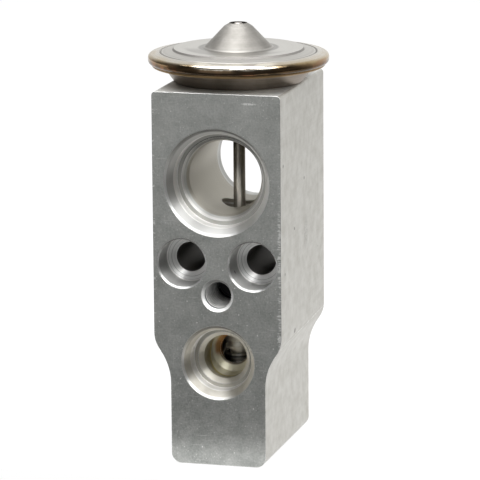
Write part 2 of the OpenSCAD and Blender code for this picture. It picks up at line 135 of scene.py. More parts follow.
# Node materials are written with a small helper, so that each reads as a formula
class Shade:
    def __init__(self, name):
        self.material = bpy.data.materials.new(name)
        self.material.use_nodes = True
        self.tree = self.material.node_tree
        self.tree.nodes.clear()
        self.out = self.add("ShaderNodeOutputMaterial")
        self.surface = self.add("ShaderNodeBsdfPrincipled")
        self.link(self.surface.outputs[0], self.out.inputs["Surface"])
        place = self.add("ShaderNodeTexCoord")
        scaled = self.add("ShaderNodeVectorMath", operation="SCALE")
        self.link(place.outputs["Object"], scaled.inputs[0])
        scaled.inputs["Scale"].default_value = 1 / MM
        self.point = scaled.outputs[0]
        split = self.add("ShaderNodeSeparateXYZ")
        self.link(self.point, split.inputs[0])
        self.x, self.y, self.z = split.outputs
        facing = self.add("ShaderNodeSeparateXYZ")
        self.link(place.outputs["Normal"], facing.inputs[0])
        self.nx, self.ny, self.nz = facing.outputs

    def add(self, kind, **settings):
        node = self.tree.nodes.new(kind)
        for key, value in settings.items():
            setattr(node, key, value)
        return node

    def link(self, source, target):
        self.tree.links.new(source, target)

    def put(self, value, target):
        if isinstance(value, bpy.types.NodeSocket):
            self.link(value, target)
        else:
            target.default_value = value

    def calc(self, operation, a, b=0.0):
        node = self.add("ShaderNodeMath", operation=operation)
        for value, target in zip((a, b), node.inputs):
            self.put(value, target)
        return node.outputs[0]

    def chain(self, operation, values):
        result = values[0]
        for value in values[1:]:
            result = self.calc(operation, result, value)
        return result

    def times(self, *values):
        return self.chain("MULTIPLY", values)

    def plus(self, *values):
        return self.chain("ADD", values)

    def most(self, *values):
        return self.chain("MAXIMUM", values)

    def minus(self, a, b):
        return self.calc("SUBTRACT", a, b)

    def over(self, a, b):
        return self.calc("DIVIDE", a, b)

    def absolute(self, a):
        return self.calc("ABSOLUTE", a)

    def either(self, share, a, b):
        """a where share is 1 and b where it is 0."""
        return self.plus(self.times(share, a), self.times(self.minus(1.0, share), b))

    def radius(self, a, b):
        return self.calc("SQRT", self.plus(self.times(a, a), self.times(b, b)))

    def remap(self, value, low, high, new_low, new_high, **settings):
        node = self.add("ShaderNodeMapRange", **settings)
        self.put(value, node.inputs["Value"])
        for key, number in zip(("From Min", "From Max", "To Min", "To Max"), (low, high, new_low, new_high)):
            node.inputs[key].default_value = number
        return node.outputs["Result"]

    def below(self, value, edge, soft):
        """1 where value is under edge, 0 over it, soft over that width."""
        return self.remap(value, edge - soft / 2, edge + soft / 2, 1.0, 0.0, interpolation_type="SMOOTHSTEP")

    def above(self, value, edge, soft):
        return self.minus(1.0, self.below(value, edge, soft))

    def between(self, value, low, high, soft):
        return self.times(self.above(value, low, soft), self.below(value, high, soft))

    def port(self, across, centre_z, radius):
        """1 in a round port along Y, where across is the distance to its middle plane."""
        return self.below(self.radius(across, self.minus(self.z, centre_z)), radius, 0.04)

    def sweep(self):
        """Distance from the axis along the direction of the painted highlights and reflections."""
        return self.plus(self.times(self.x, PAINTED_LIGHT_X), self.times(self.y, PAINTED_LIGHT_Y))

    def vector(self, x, y, z):
        node = self.add("ShaderNodeCombineXYZ")
        for value, target in zip((x, y, z), node.inputs):
            self.put(value, target)
        return node.outputs[0]

    def stretch(self, x, y, z):
        node = self.add("ShaderNodeVectorMath", operation="MULTIPLY")
        self.link(self.point, node.inputs[0])
        node.inputs[1].default_value = (x, y, z)
        return node.outputs[0]

    def noise(self, vector, scale, detail, rough):
        node = self.add("ShaderNodeTexNoise")
        self.put(vector, node.inputs["Vector"])
        node.inputs["Scale"].default_value = scale
        node.inputs["Detail"].default_value = detail
        node.inputs["Roughness"].default_value = rough
        return node.outputs["Fac"]

    def spots(self, vector, scale, size, soft):
        node = self.add("ShaderNodeTexVoronoi")
        self.put(vector, node.inputs["Vector"])
        node.inputs["Scale"].default_value = scale
        return self.below(node.outputs["Distance"], size, soft)

    def blend(self, amount, a, b):
        node = self.add("ShaderNodeMix", data_type="RGBA")
        self.put(amount, node.inputs[0])
        for value, target in ((a, node.inputs[6]), (b, node.inputs[7])):
            self.put(value if isinstance(value, bpy.types.NodeSocket) else (*value, 1.0), target)
        return node.outputs[2]

    def ramp(self, value, *stops):
        node = self.add("ShaderNodeValToRGB")
        self.put(value, node.inputs[0])
        fill_ramp(node, stops)
        return node.outputs[0]

    def bump(self, height, distance_mm, strength, edge_mm=0.0):
        node = self.add("ShaderNodeBump")
        self.put(height, node.inputs["Height"])
        node.inputs["Distance"].default_value = distance_mm * MM
        node.inputs["Strength"].default_value = strength
        if edge_mm:
            edge = self.add("ShaderNodeBevel", samples=6)
            edge.inputs["Radius"].default_value = edge_mm * MM
            self.link(edge.outputs[0], node.inputs["Normal"])
        return node.outputs[0]

    def edge(self, width_mm, low, high):
        """1 on sharp edges within about width_mm, 0 on the faces between them."""
        round_normal = self.add("ShaderNodeBevel", samples=6)
        round_normal.inputs["Radius"].default_value = width_mm * MM
        plain = self.add("ShaderNodeNewGeometry")
        dot = self.add("ShaderNodeVectorMath", operation="DOT_PRODUCT")
        self.link(round_normal.outputs[0], dot.inputs[0])
        self.link(plain.outputs["Normal"], dot.inputs[1])
        bent = self.minus(1.0, dot.outputs["Value"])
        return self.above(bent, (low + high) / 2, high - low)

    def grooved(self, share, along):
        """Gloss drawn out across fine turning grooves, along is the direction that crosses them."""
        self.put(share, self.surface.inputs["Anisotropic"])
        self.link(along, self.surface.inputs["Tangent"])

    def finish(self, colour, rough, normal, metallic=1.0):
        self.put(colour, self.surface.inputs["Base Color"])
        self.put(rough, self.surface.inputs["Roughness"])
        self.surface.inputs["Metallic"].default_value = metallic
        self.link(normal, self.surface.inputs["Normal"])
        return self.material


def block_material():
    """Extruded aluminium: pale sides, machined grey faces and turned ports."""
    s = Shade("extruded_aluminium")
    depth = s.absolute(s.y)

    def deeper(mm, soft):
        """1 further in than mm behind the nearer face."""
        return s.below(depth, BLOCK_HALF_DEPTH - mm, soft)

    def nearer(mm, soft):
        return s.above(depth, BLOCK_HALF_DEPTH - mm, soft)

    def layer(far, near, soft):
        return s.between(depth, BLOCK_HALF_DEPTH - far, BLOCK_HALF_DEPTH - near, soft)

    in_suction = s.port(s.x, SUCTION_Z, SUCTION_R + PORT_MARGIN)
    in_bolt = s.port(s.minus(s.absolute(s.x), BOLT_X), BOLT_Z, BOLT_R + PORT_MARGIN)
    in_stud = s.port(s.x, STUD_Z, STUD_R)
    in_inlet = s.times(s.port(s.x, INLET_Z, LIQUID_R + PORT_MARGIN), s.below(s.y, 0.0, 0.1))
    in_outlet = s.times(s.port(s.x, OUTLET_Z, LIQUID_R + PORT_MARGIN), s.above(s.y, 0.0, 0.1))
    not_face = deeper(0.02, 0.02)
    liquid = s.times(s.most(in_inlet, in_outlet), not_face)
    inside = s.times(s.most(in_suction, in_bolt, in_stud, in_inlet, in_outlet), not_face)
    face = s.times(s.above(s.absolute(s.ny), 0.7, 0.1), nearer(0.1, 0.05))
    top = s.times(s.above(s.nz, 0.9, 0.05), s.above(s.z, BLOCK_TOP_Z - 0.1, 0.05))

    # Each port's own middle, for what runs round it or across it
    centre_x = s.times(s.calc("SIGN", s.x), s.times(in_bolt, BOLT_X))
    centre_z = s.plus(
        s.times(in_suction, SUCTION_Z), s.times(in_bolt, BOLT_Z), s.times(in_stud, STUD_Z),
        s.times(in_inlet, INLET_Z), s.times(in_outlet, OUTLET_Z)
    )
    off_x = s.minus(s.x, centre_x)
    off_z = s.minus(s.z, centre_z)
    reach = s.most(s.radius(off_x, off_z), 0.01)
    across = s.vector(s.over(off_x, reach), s.calc("SIGN", s.y), s.over(off_z, reach))
    s.grooved(s.times(s.minus(inside, in_stud), 0.85), across)

    # Colours of the milled faces, the extruded sides and the turned ports
    cloud = s.noise(s.point, 0.09, 4.0, 0.6)
    grain = s.noise(s.point, 2.2, 3.0, 0.65)
    fine = s.noise(s.stretch(1.0, 1.0, 1.4), 5.0, 2.0, 0.6)
    streak = s.noise(s.stretch(1.6, 1.6, 0.05), 1.0, 3.0, 0.55)
    draw = s.noise(s.stretch(0.3, 0.02, 3.0), 1.0, 3.0, 0.55)
    patch = s.noise(s.point, 0.35, 3.0, 0.6)
    tone = s.plus(s.times(cloud, 0.2), s.times(grain, 0.5), s.times(patch, 0.3))
    milled = s.ramp(tone, (0.35, (0.33, 0.342, 0.326)), (0.65, (0.575, 0.582, 0.562)))
    tone = s.plus(s.times(streak, 0.12), s.times(draw, 0.18), s.times(patch, 0.7))
    side = s.ramp(tone, (0.34, (0.50, 0.487, 0.45)), (0.62, (0.61, 0.60, 0.568)))
    turned = s.ramp(s.noise(s.stretch(0.15, 2.5, 0.15), 1.0, 2.0, 0.5),
                    (0.3, (0.70, 0.70, 0.68)), (0.7, (0.84, 0.84, 0.82)))

    # Suction passage behind its seat, and painted shade in the fixing holes behind their seats
    passage = s.times(in_suction, deeper(SUCTION_SEAT, 0.2))
    turned = s.blend(s.times(passage, 0.85), turned, (0.60, 0.57, 0.50))
    before_seat = s.times(in_bolt, s.below(s.y, FRONT_Y + BOLT_SEAT, 0.5))
    drilled_shade = s.times(s.minus(in_bolt, before_seat), s.below(s.y, BLOCK_HALF_DEPTH - 3.0, 6.0))
    turned = s.blend(drilled_shade, turned, DEEP_SHADE)

    # Liquid ports: stained wall, a painted highlight ring at the seat, the drill cone with a painted
    # highlight on its lower part, and painted shade in the hole behind it
    liquid_wall = s.ramp(s.noise(s.stretch(0.25, 0.5, 0.25), 1.0, 3.0, 0.6),
                     (0.3, (0.66, 0.63, 0.56)), (0.7, (0.80, 0.78, 0.72)))
    deep = deeper(LIQUID_SEAT, 1.0)
    olive = s.times(deep, s.remap(s.noise(s.point, 0.5, 3.0, 0.6), 0.35, 0.65, 0.35, 0.9))
    liquid_wall = s.blend(olive, liquid_wall, (0.46, 0.405, 0.24))
    seat_highlight = layer(7.2, 5.6, 0.3)
    liquid_wall = s.blend(s.times(seat_highlight, 0.9), liquid_wall, (0.95, 0.92, 0.84))
    # Painted highlight on the drill cone, cream on its lower part and fading out above
    cone_start = s.remap(off_z, -5.4, 0.5, 9.2, 12.9)
    past_cone = s.plus(s.minus(depth, BLOCK_HALF_DEPTH), cone_start)
    low_half = s.remap(off_z, -3.0, 0.5, 1.0, 0.2)
    cone = s.times(s.below(past_cone, 0.0, 0.5), low_half)
    liquid_wall = s.blend(cone, liquid_wall, (1.0, 0.96, 0.78))
    cone_edge = s.between(past_cone, -0.5, 0.4, 0.4)
    liquid_wall = s.blend(s.times(cone_edge, 0.7), liquid_wall, (0.62, 0.52, 0.16))
    # Painted shade in the drilled hole behind the cone
    liquid_wall = s.blend(deeper(LIQUID_DRILL, 0.3), liquid_wall, (0.24, 0.20, 0.14))
    # Orange-brown patch deep on the left wall of the liquid ports
    orange_brown = s.times(deeper(14.6, 0.5), s.below(off_x, -1.2, 1.4), s.above(off_z, -1.5, 2.0))
    liquid_wall = s.blend(s.times(orange_brown, 0.85), liquid_wall, (0.42, 0.20, 0.06))

    # Thread of the clamp hole, with painted shade in its roots and further down the hole
    turn = s.over(s.calc("ARCTAN2", off_z, off_x), 2 * math.pi)
    along = s.over(s.plus(s.y, BLOCK_HALF_DEPTH - THREAD_START), THREAD_PITCH)
    root = s.calc("FRACT", s.plus(s.minus(along, turn), 20.0))
    root = s.below(s.absolute(s.minus(root, 0.5)), 0.22, 0.12)
    root = s.most(root, s.times(s.above(reach, STUD_CORE_R - 0.07, 0.05), 0.8))
    thread_end = FRONT_Y + THREAD_START + THREAD_DEPTH
    root = s.times(root, in_stud, s.below(s.y, thread_end, 0.1), s.above(s.y, FRONT_Y + 1.0, 0.2))

    # Painted light on the walls near the mouths, brighter to the right, the clamp hole's wall painted white
    # as a painted highlight, and painted shade at its end
    mouth_light = s.ramp(s.remap(s.over(off_x, reach), -0.7, 0.9, 0.0, 1.0),
                        (0.0, (0.64, 0.64, 0.625)), (1.0, (0.92, 0.92, 0.90)))
    turned = s.blend(s.times(in_suction, nearer(6.0, 1.0)), turned, mouth_light)
    turned = s.blend(s.times(in_bolt, nearer(7.0, 0.5)), turned, (0.62, 0.62, 0.605))
    turned = s.blend(in_stud, turned, HIGHLIGHT_WHITE)
    turned = s.blend(s.times(root, 0.9), turned, (0.05, 0.05, 0.05))
    turned = s.blend(s.times(in_stud, s.above(s.y, FRONT_Y + 11.0, 4.0)), turned, (0.10, 0.10, 0.10))
    interior = s.blend(liquid, turned, liquid_wall)

    # Ledges that face the front, painted highlights on the fixing holes' seats, brightest to the lower left,
    # and on the thin folds between steps
    ledge = s.times(s.above(s.absolute(s.ny), 0.85, 0.1), inside, nearer(8.0, 0.1))
    interior = s.blend(s.times(ledge, s.minus(1.0, in_bolt), 0.5), interior, (0.34, 0.33, 0.28))
    seat = s.times(in_bolt, s.above(s.absolute(s.ny), 0.6, 0.1), nearer(8.8, 0.1))
    low_side = s.remap(s.minus(off_z, off_x), -4.0, 4.0, 1.0, 0.55)
    interior = s.blend(s.times(seat, low_side), interior, HIGHLIGHT_WHITE)
    seat_line = s.times(seat, s.most(s.between(reach, 4.75, 4.9, 0.08), s.between(reach, 5.5, 5.6, 0.08)))
    interior = s.blend(s.times(seat_line, 0.5), interior, (0.30, 0.30, 0.29))
    fold_highlights = s.most(
        s.times(in_bolt, s.between(reach, 5.68, 6.1, 0.06), layer(7.6, 7.1, 0.06)),
        s.times(seat, s.between(reach, 3.6, 4.0, 0.06)),
        s.times(in_suction, s.between(reach, 11.3, 11.62, 0.08)),
        s.times(in_suction, s.between(reach, 9.9, 10.35, 0.08)),
        s.times(in_inlet, s.between(reach, 7.42, 7.72, 0.08))
    )
    interior = s.blend(s.times(fold_highlights, 0.85), interior, (1.0, 0.99, 0.97))

    # Painted shade on the upper half of each mouth just behind its edge and at its inner fold, and a painted
    # highlight on its lower left edge
    upper = s.remap(s.over(off_z, reach), 0.1, 0.85, 0.0, 1.0)
    mouth = s.most(nearer(1.0, 0.8), s.times(in_suction, s.between(reach, 9.6, 10.6, 0.2)))
    interior = s.blend(s.times(upper, mouth, 0.75), interior, (0.13, 0.125, 0.115))
    lower = s.remap(s.over(s.plus(off_z, off_x), reach), -0.3, -1.0, 0.0, 1.0)
    interior = s.blend(s.times(lower, nearer(0.55, 0.1), 0.8), interior, HIGHLIGHT_WHITE)

    colour = s.blend(face, side, milled)
    colour = s.blend(top, colour, (0.72, 0.725, 0.71))
    colour = s.blend(inside, colour, interior)

    # Fine cutter ticks on the right front edge, nicks, specks and scratches on the milled faces
    tick_reach = s.remap(s.noise(s.stretch(0.0, 0.0, 0.7), 1.0, 2.0, 0.6), 0.35, 0.65, 15.7, 14.9)
    tick_place = s.times(s.above(s.minus(s.x, tick_reach), 0.0, 0.5), s.between(s.z, 16.0, 64.0, 8.0))
    ticks = s.times(face, tick_place, s.above(s.noise(s.stretch(0.4, 0.4, 3.4), 1.0, 2.0, 0.6), 0.5, 0.06))
    edge_x = s.above(s.absolute(s.x), 15.5, 0.4)
    nicks = s.times(face, edge_x, s.above(s.noise(s.stretch(0.3, 0.3, 0.9), 1.0, 3.0, 0.7), 0.62, 0.05))
    fine_specks = s.times(s.spots(s.point, 0.9, 0.13, 0.06), 0.5)
    specks = s.times(face, s.most(s.spots(s.point, 0.32, 0.06, 0.03), fine_specks))
    scratch_a = s.times(face, s.above(s.noise(s.stretch(0.12, 1.0, 4.5), 1.0, 2.0, 0.5), 0.68, 0.03))
    scratch_b = s.times(face, s.above(s.noise(s.stretch(3.0, 1.0, 0.25), 1.0, 2.0, 0.5), 0.7, 0.03))
    marks = s.most(
        s.times(ticks, 0.8), s.times(nicks, 0.8), s.times(specks, 0.75),
        s.times(scratch_a, 0.35), s.times(scratch_b, 0.28)
    )
    # Painted highlight along the sharp edges, patchy along their length
    edge_highlight = s.edge(0.3, 0.01, 0.07)
    edge_highlight = s.times(edge_highlight, s.remap(s.noise(s.point, 0.8, 3.0, 0.7), 0.3, 0.6, 0.35, 1.0))
    marks = s.most(marks, s.times(edge_highlight, 0.85))

    # Smear under the top front edge, a line across the right side and dents at its front end
    smear_x = s.over(s.minus(s.x, 8.2), 2.2)
    smear_z = s.over(s.minus(s.z, 89.6), 0.32)
    smear = s.times(
        face, s.below(s.radius(smear_x, smear_z), 0.8, 0.8),
        s.above(grain, 0.42, 0.2), s.below(s.y, 0.0, 1.0)
    )
    marks = s.most(marks, s.times(smear, 0.9))
    flank = s.times(s.above(s.absolute(s.nx), 0.5, 0.2), s.above(s.x, 0.0, 1.0))
    fold_z = s.plus(s.minus(s.z, s.times(s.y, 0.055)), s.times(patch, 0.6))
    fold = s.times(flank, s.between(fold_z, 30.5, 30.85, 0.12))
    marks = s.most(marks, s.times(fold, s.remap(streak, 0.35, 0.6, 0.0, 0.5)))
    dent = s.times(face, s.above(s.x, 15.0, 0.5), s.between(s.z, 31.4, 33.2, 0.4), s.above(grain, 0.44, 0.1))
    marks = s.most(marks, s.times(dent, 0.9))
    colour = s.blend(marks, colour, (0.95, 0.95, 0.93))

    # Pits, a smudge and grime on the sides
    pits = s.times(s.minus(1.0, s.most(face, inside, top)), s.spots(s.point, 0.11, 0.045, 0.03))
    side_pit = s.below(s.radius(s.minus(s.y, -8.0), s.minus(s.z, 31.6)), 0.62, 0.4)
    smudge = s.radius(s.minus(s.y, 3.0), s.times(s.minus(s.z, 54.0), 0.5))
    smudge = s.times(flank, s.below(smudge, 1.8, 1.6), s.above(grain, 0.48, 0.1))
    colour = s.blend(s.times(smudge, 0.5), colour, (0.34, 0.33, 0.31))
    grime = s.times(flank, s.between(fold_z, 30.0, 31.4, 0.6), s.above(patch, 0.52, 0.1))
    colour = s.blend(s.times(grime, 0.35), colour, (0.36, 0.34, 0.30))
    small_pit = s.below(s.radius(s.minus(s.y, -17.2), s.minus(s.z, 47.6)), 0.36, 0.3)
    side_pit = s.times(flank, s.most(side_pit, small_pit))
    colour = s.blend(s.times(s.most(pits, side_pit), 0.8), colour, DEEP_SHADE)

    # Gloss and fine relief
    rough_face = s.remap(grain, 0.3, 0.7, 0.30, 0.42)
    rough_side = s.remap(streak, 0.3, 0.7, 0.44, 0.56)
    rough_in = s.plus(s.remap(fine, 0.3, 0.7, 0.42, 0.5), s.times(in_stud, 0.2))
    rough = s.either(inside, rough_in, s.either(face, rough_face, rough_side))
    rings = s.noise(s.stretch(0.02, 7.0, 0.02), 1.0, 1.0, 0.5)
    height = s.plus(s.times(face, grain), s.times(inside, rings, 0.5))
    outer = s.minus(1.0, s.most(face, inside))
    height = s.plus(height, s.times(outer, s.plus(s.times(streak, 0.2), s.times(fine, 0.5))))
    normal = s.bump(height, 0.03, 0.7, edge_mm=0.32)
    return s.finish(colour, rough, normal)


def cover_material():
    """Pressed steel with turning rings, brown where the rim was welded."""
    s = Shade("heat_tinted_cover")
    radius = s.radius(s.x, s.y)
    rings = s.noise(s.vector(s.times(radius, 3.2), s.times(s.z, 1.2), 0.0), 1.0, 3.0, 0.6)
    broad = s.noise(s.vector(s.times(radius, 0.5), s.times(s.z, 0.6), 0.0), 1.0, 2.0, 0.5)
    cloud = s.noise(s.point, 0.16, 4.0, 0.6)
    fine = s.noise(s.point, 3.0, 3.0, 0.7)
    sweep = s.sweep()
    plain = s.ramp(s.plus(s.times(rings, 0.5), s.times(broad, 0.5)),
                   (0.3, (0.50, 0.485, 0.455)), (0.7, (0.66, 0.645, 0.615)))
    dome = s.times(s.below(radius, DOME_R, 0.8), s.above(s.z, 100.1, 0.3))
    plain = s.blend(s.times(dome, s.remap(cloud, 0.35, 0.65, 0.55, 0.85)), plain, (0.20, 0.19, 0.175))

    # The tint goes from straw through brown to nearly black at the seam
    tint_height = s.plus(s.z, s.remap(cloud, 0.3, 0.7, -0.35, 0.35))
    tint = s.ramp(s.remap(tint_height, 96.2, 98.9, 0.0, 1.0),
                  (0.0, (0.05, 0.035, 0.02)), (0.3, (0.12, 0.075, 0.04)), (0.5, (0.28, 0.185, 0.095)),
                  (0.7, (0.47, 0.36, 0.21)), (1.0, (0.56, 0.515, 0.44)))
    rim = s.above(radius, RIM_R, 1.6)
    colour = s.blend(rim, plain, tint)
    # Rust spots low on the rim
    orange_brown = s.times(rim, s.above(cloud, 0.56, 0.12), s.below(s.z, 98.2, 0.5))
    colour = s.blend(s.times(orange_brown, 0.5), colour, (0.30, 0.13, 0.06))
    specks = s.spots(s.point, 0.5, 0.07, 0.05)
    colour = s.blend(s.times(specks, 0.35), colour, (0.28, 0.26, 0.24))
    # Sloped steps of the plate painted dark, a painted shade that holds down their glare
    step = s.times(s.below(s.nz, 0.985, 0.01), s.below(radius, 18.5, 0.4), s.above(radius, 9.6, 0.4))
    colour = s.blend(s.times(step, 0.8), colour, (0.22, 0.21, 0.20))

    # Thin groove outside the platform, and a painted dark reflection of the dome: a band round its foot and a
    # dim patch before it
    groove = s.times(s.between(radius, 18.8, 19.3, 0.12), s.above(s.z, PLATFORM_Z, 0.2))
    colour = s.blend(s.times(groove, 0.55), colour, (0.20, 0.19, 0.18))
    foot = s.between(radius, 8.4, 9.8, 0.8)
    colour = s.blend(s.times(foot, 0.7), colour, (0.17, 0.16, 0.145))
    shade = s.times(s.between(radius, 9.8, 13.2, 1.2), s.below(s.y, -5.0, 6.0), s.below(radius, 13.5, 1.0))
    colour = s.blend(s.times(shade, 0.6), colour, (0.28, 0.265, 0.25))
    # Dark filling of the charge hole
    filling = s.times(s.below(radius, 2.2, 0.1), s.above(s.z, 104.0, 0.2))
    colour = s.blend(s.times(filling, 0.9), colour, (0.03, 0.025, 0.02))

    # Painted dark reflections at both ends of the rim's front, and a painted cream highlight between them
    front = s.times(s.below(s.y, 0.0, 4.0), rim)
    middle = s.between(sweep, -10.5, 8.5, 3.0)
    dark_reflection = s.most(s.between(sweep, -15.0, -11.0, 2.5), s.between(sweep, 9.4, 13.4, 2.5))
    dark_reflection = s.times(front, dark_reflection, s.between(tint_height, 97.4, 98.2, 0.5))
    colour = s.blend(s.times(dark_reflection, 0.85), colour, (0.06, 0.04, 0.022))
    rim_highlight = s.times(front, middle, s.between(tint_height, 97.6, 98.8, 0.3))
    colour = s.blend(s.times(rim_highlight, 0.85), colour, (0.93, 0.88, 0.77))
    # Painted dark reflection in a band under the highlight
    low_dark_reflection = s.times(front, middle, s.between(tint_height, 96.7, 97.7, 0.3))
    colour = s.blend(s.times(low_dark_reflection, 0.6), colour, (0.09, 0.065, 0.045))
    rough = s.plus(s.remap(rings, 0.3, 0.7, 0.26, 0.42), s.times(s.most(dome, step), 0.26))
    rough = s.minus(rough, s.times(rim, 0.16))
    height = s.plus(rings, s.times(fine, 0.5))
    return s.finish(colour, rough, s.bump(height, 0.03, 0.7))


def dish_material():
    """Lower cover, browned and dull from the weld."""
    s = Shade("browned_steel")
    radius = s.radius(s.x, s.y)
    cloud = s.noise(s.point, 0.22, 4.0, 0.6)
    rings = s.noise(s.vector(s.times(radius, 1.5), s.times(s.z, 3.0), 0.0), 1.0, 3.0, 0.6)
    colour = s.ramp(s.plus(s.times(cloud, 0.6), s.times(rings, 0.4)),
                    (0.3, (0.20, 0.168, 0.136)), (0.7, (0.34, 0.295, 0.25)))
    edge = s.above(radius, 20.6, 0.4)
    colour = s.blend(edge, colour, (0.34, 0.23, 0.12))
    rough = s.remap(cloud, 0.3, 0.7, 0.38, 0.52)
    return s.finish(colour, rough, s.bump(rings, 0.03, 0.7))


def metal_material(name, dark, light, rough_low, rough_high, lines=(1.0, 1.0, 1.0), scale=2.0, bump_mm=0.02):
    """Bare metal with fine lines, dark and light are its two tones."""
    s = Shade(name)
    grain = s.noise(s.stretch(*lines), scale, 4.0, 0.6)
    cloud = s.noise(s.point, 0.4, 3.0, 0.6)
    tone = s.plus(s.times(grain, 0.6), s.times(cloud, 0.4))
    colour = s.ramp(tone, (0.32, dark), (0.68, light))
    rough = s.remap(grain, 0.3, 0.7, rough_low, rough_high)
    return s.finish(colour, rough, s.bump(grain, bump_mm, 0.7))


def soft_material(name, dark, light, rough_low, rough_high):
    """Rubber or plastic with a fine skin."""
    s = Shade(name)
    grain = s.noise(s.point, 6.0, 3.0, 0.6)
    cloud = s.noise(s.point, 0.7, 3.0, 0.6)
    colour = s.ramp(s.plus(s.times(grain, 0.4), s.times(cloud, 0.6)), (0.3, dark), (0.7, light))
    rough = s.remap(grain, 0.3, 0.7, rough_low, rough_high)
    return s.finish(colour, rough, s.bump(grain, 0.015, 0.6), metallic=0.0)


def dress(name, material):
    """Gives a CAD node one material in all of its slots."""
    holder = nodes[name]
    if not holder.material_slots:
        holder.data.materials.append(material)
    for slot in holder.material_slots:
        slot.material = material


def rod_material():
    """Drawn steel, light below the middle of the suction port and dull above, with a painted highlight streak
    down its front and painted shade beside it.
    """
    s = Shade("drawn_steel")
    lines = s.noise(s.stretch(6.0, 6.0, 0.25), 1.0, 4.0, 0.6)
    cloud = s.noise(s.point, 0.4, 3.0, 0.6)
    tone = s.plus(s.times(lines, 0.6), s.times(cloud, 0.4))
    dull = s.ramp(tone, (0.32, (0.20, 0.18, 0.155)), (0.68, (0.40, 0.37, 0.33)))
    bright = s.ramp(tone, (0.32, (0.78, 0.74, 0.67)), (0.68, (0.95, 0.92, 0.86)))
    lower_rod = s.below(s.plus(s.z, s.remap(lines, 0.3, 0.7, -2.0, 2.0)), SUCTION_Z, 6.0)
    colour = s.blend(lower_rod, dull, bright)
    sweep = s.sweep()
    # Painted highlight streak down the rod's front, with painted shade on both sides of it
    streak = s.times(lower_rod, s.below(s.y, 0.0, 0.3), s.between(sweep, -0.55, 0.3, 0.35))
    colour = s.blend(s.times(s.minus(1.0, streak), lower_rod, 0.55), colour, (0.16, 0.14, 0.12))
    colour = s.blend(streak, colour, (1.0, 0.96, 0.9))
    upper = s.ramp(tone, (0.32, (0.14, 0.125, 0.10)), (0.68, (0.30, 0.275, 0.235)))
    colour = s.blend(s.minus(1.0, lower_rod), colour, upper)
    gloss_loss = s.times(s.most(s.times(lower_rod, 0.5), streak), 0.25)
    rough = s.plus(s.remap(lines, 0.3, 0.7, 0.24, 0.36), gloss_loss)
    return s.finish(colour, rough, s.bump(lines, 0.02, 0.7))


block = block_material()
spring_steel = metal_material(
    "spring_steel", (0.42, 0.41, 0.39), (0.62, 0.61, 0.59), 0.25, 0.4, (2.0, 2.0, 6.0)
)
dress("valve_body", block)
dress("upper_cover", cover_material())
dress("lower_cover", dish_material())
dress("charge_plug", metal_material(
    "welded_plug", (0.30, 0.27, 0.25), (0.56, 0.53, 0.50), 0.32, 0.5, (1.0, 1.0, 1.0), 1.6, 0.05
))
for name in ("diaphragm", "seal_retainer", "superheat_spring"):
    dress(name, spring_steel)
dress("damper_spring", metal_material(
    "spring_band", (0.60, 0.58, 0.53), (0.82, 0.80, 0.75), 0.4, 0.55, (1.0, 1.0, 4.0)
))
dress("operating_rod", rod_material())
# Carrier painted near white, a painted light for the lit metal seen down the liquid port
dress("ball_carrier", metal_material(
    "turned_carrier", (0.80, 0.77, 0.69), (1.0, 0.98, 0.93), 0.6, 0.75, (1.0, 1.0, 4.0), 1.0, 0.06
))
dress("valve_ball", metal_material(
    "polished_ball", (0.68, 0.68, 0.68), (0.80, 0.80, 0.80), 0.06, 0.14
))
dress("diaphragm_stop", metal_material(
    "turned_brass", (0.52, 0.40, 0.18), (0.74, 0.60, 0.32), 0.22, 0.36, (0.3, 0.3, 5.0), 1.0
))
dress("adjusting_screw", metal_material(
    "screw_brass", (0.50, 0.38, 0.17), (0.72, 0.58, 0.30), 0.24, 0.4, (0.3, 0.3, 5.0), 1.0
))
seal_rubber = soft_material("seal_rubber", (0.012, 0.012, 0.012), (0.035, 0.034, 0.033), 0.45, 0.62)
for name in ("head_seal", "rod_seal", "screw_seal"):
    dress(name, seal_rubber)
dress("seal_washer", soft_material("washer_plastic", (0.66, 0.65, 0.61), (0.80, 0.79, 0.76), 0.35, 0.5))


def thread_ridge():
    """Thread of the clamp hole, a low helical ridge on its wall."""
    root_r = STUD_CORE_R + PORT_MARGIN
    crest_r = STUD_CORE_R - THREAD_HEIGHT
    steps = 48
    run_out = 10
    profile = ((root_r, -0.5), (crest_r, -0.1), (crest_r, 0.1), (root_r, 0.5))
    verts = []
    faces = []
    count = int(THREAD_DEPTH / THREAD_PITCH * steps)
    for i in range(count + 1):
        angle = 2 * math.pi * i / steps
        along = FRONT_Y + THREAD_START + THREAD_PITCH * i / steps
        fade = min(1.0, i / run_out, (count - i) / run_out)
        for radius, offset in profile:
            r = root_r + (radius - root_r) * fade
            verts.append((
                r * math.cos(angle) * MM, (along + offset) * MM, (STUD_Z + r * math.sin(angle)) * MM
            ))
    size = len(profile)
    for i in range(count):
        for j in range(size):
            k = (j + 1) % size
            faces.append((i * size + j, i * size + k, (i + 1) * size + k, (i + 1) * size + j))
    faces.append(tuple(range(size - 1, -1, -1)))
    faces.append(tuple(count * size + j for j in range(size)))
    mesh = bpy.data.meshes.new("clamp_thread_ridge")
    mesh.from_pydata(verts, [], faces)
    mesh.update()
    ridge = bpy.data.objects.new("clamp_thread_ridge", mesh)
    scene.collection.objects.link(ridge)
    mesh.materials.append(block)
    return ridge


